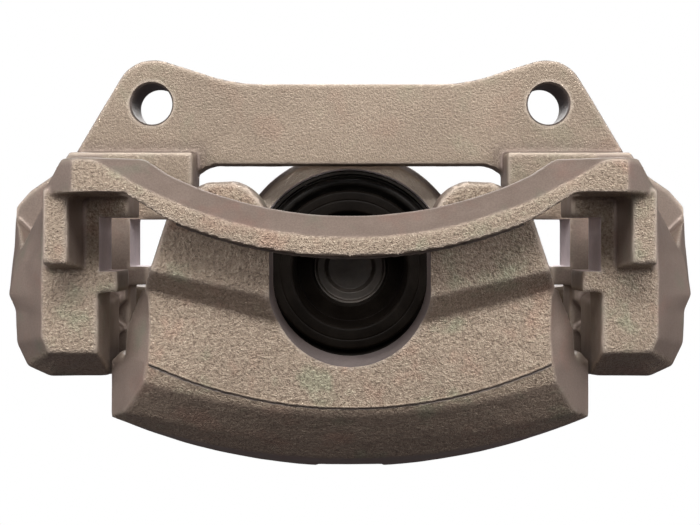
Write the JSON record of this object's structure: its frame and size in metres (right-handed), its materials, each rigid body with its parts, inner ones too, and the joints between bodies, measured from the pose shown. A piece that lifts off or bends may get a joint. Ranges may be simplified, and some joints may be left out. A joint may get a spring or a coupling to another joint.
{
  "type": "brake caliper",
  "caption": "Floating disc-brake caliper on its cast bracket: sliding housing with two fingers over a pad and disc gap, cup piston, guide pins with boots and a bleeder.",
  "frame": {"origin": "midway between the two bracket bolt holes, on the ears' inboard mounting face", "axes": "+X across the caliper, +Y inboard along the disc axis, +Z towards the hub"},
  "size_m": [0.2424, 0.1845, 0.1432],
  "materials": {
    "coated_iron": "cast grain under a bronze-grey coating",
    "phenolic": "moulded and ground",
    "seal_rubber": "matte",
    "boot_rubber": "matte moulded",
    "ring_steel": "dark pressed steel",
    "pin_steel": "ground",
    "bolt_steel": "zinc plated",
    "plated_steel": "yellow zinc plated",
    "cap_rubber": "soft moulded"
  },
  "bodies": {
    "bracket": {"bracket": "coated_iron"},
    "caliper": {"caliper_housing": "coated_iron", "piston_seal": "seal_rubber", "piston_boot": "boot_rubber", "boot_ring": "ring_steel", "guide_pin_left": "pin_steel", "guide_pin_right": "pin_steel", "pin_bushing": "seal_rubber", "pin_boot_left": "boot_rubber", "pin_boot_right": "boot_rubber", "guide_bolt_left": "bolt_steel", "guide_bolt_right": "bolt_steel"},
    "piston": {"piston": "phenolic"},
    "bleeder": {"bleeder_screw": "plated_steel"},
    "cap": {"bleeder_cap": "cap_rubber"}
  },
  "joints": [
    {"name": "caliper_slide", "type": "slide", "parent": "bracket", "child": "caliper", "axis": [0, 1, 0], "range_m": [-0.003, 0.016], "deforming": ["pin_boot_left", "pin_boot_right"]},
    {"name": "piston_stroke", "type": "slide", "parent": "caliper", "child": "piston", "axis": [0, -1, 0], "range_m": [0, 0.022], "deforming": ["piston_boot"]},
    {"name": "bleeder_turn", "type": "hinge", "parent": "caliper", "child": "bleeder", "pos_m": [0.025, 0.06, -0.04], "axis": [0, 1, 0], "range_deg": [0, 270]},
    {"name": "cap_pull", "type": "slide", "parent": "bleeder", "child": "cap", "axis": [0, 1, 0], "range_m": [0, 0.014]}
  ]
}
